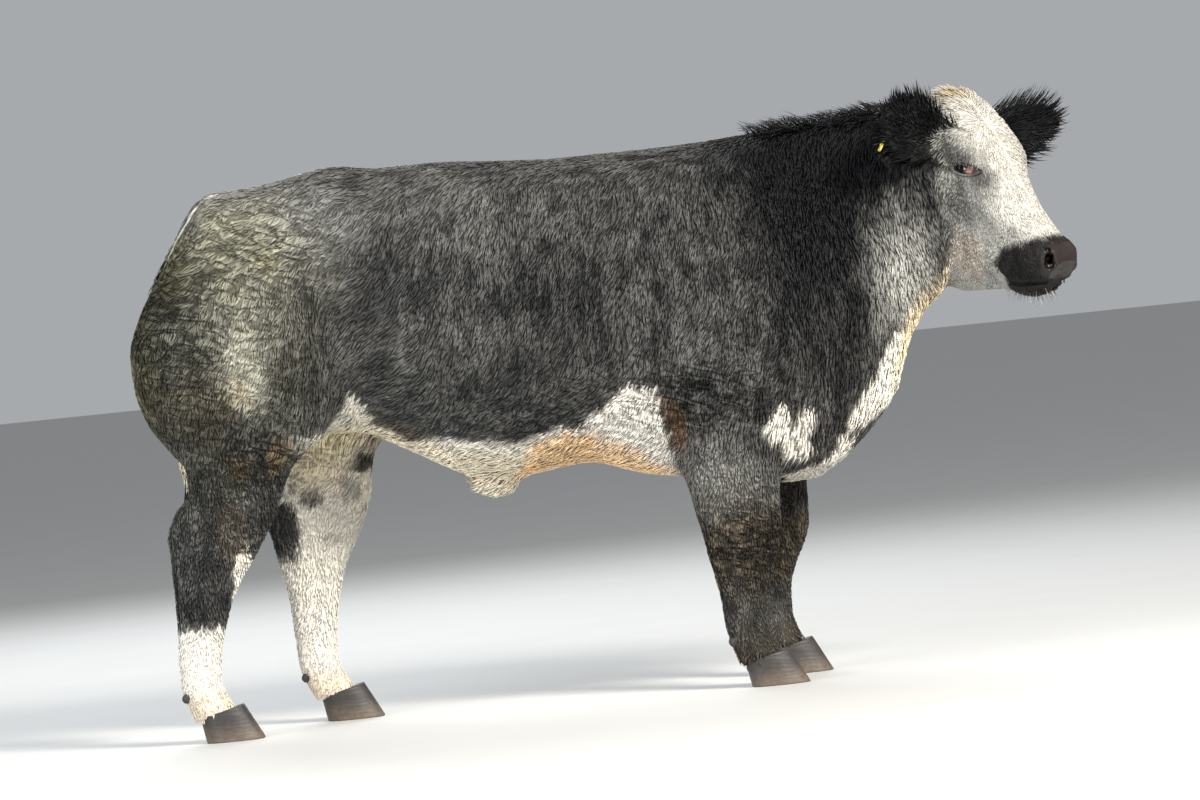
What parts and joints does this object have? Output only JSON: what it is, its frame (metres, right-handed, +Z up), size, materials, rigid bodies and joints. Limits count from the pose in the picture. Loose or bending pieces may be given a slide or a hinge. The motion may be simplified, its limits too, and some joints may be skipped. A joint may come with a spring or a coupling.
{
  "type": "belgian blue steer model",
  "caption": "Still life-size belgian blue steer, double-muscled and hornless, standing with its head turned to its right, in a blue roan coat with white underparts and plain ear tags.",
  "frame": {"origin": "bottom centre of the bounding box, on the floor under the middle of the body", "axes": "+X towards the head, along the body; +Y to the animal's left; +Z up"},
  "size_m": [2.2036, 0.6826, 1.3211],
  "materials": {
    "coat": "hairy hide, matt",
    "pale_coat": "hairy hide, matt",
    "horn": "satin horn",
    "eye": "wet gloss",
    "tag": "satin"
  },
  "bodies": {
    "root": {"head": "coat", "neck": "coat", "chest": "coat", "barrel": "coat", "rump": "coat", "ear_left": "coat", "ear_right": "coat", "eye_left": "eye", "eye_right": "eye", "tag_left": "tag", "tag_right": "tag", "tail": "coat", "tail_switch": "coat", "thigh_left": "coat", "thigh_right": "coat", "hind_shank_left": "pale_coat", "hind_shank_right": "pale_coat", "forearm_left": "coat", "forearm_right": "coat", "fore_shank_left": "coat", "fore_shank_right": "coat", "fore_claw_inner_left": "horn", "fore_claw_outer_left": "horn", "fore_claw_inner_right": "horn", "fore_claw_outer_right": "horn", "hind_claw_inner_left": "horn", "hind_claw_outer_left": "horn", "hind_claw_inner_right": "horn", "hind_claw_outer_right": "horn", "fore_dewclaw_inner_left": "horn", "fore_dewclaw_outer_left": "horn", "fore_dewclaw_inner_right": "horn", "fore_dewclaw_outer_right": "horn", "hind_dewclaw_inner_left": "horn", "hind_dewclaw_outer_left": "horn", "hind_dewclaw_inner_right": "horn", "hind_dewclaw_outer_right": "horn"}
  },
  "joints": []
}
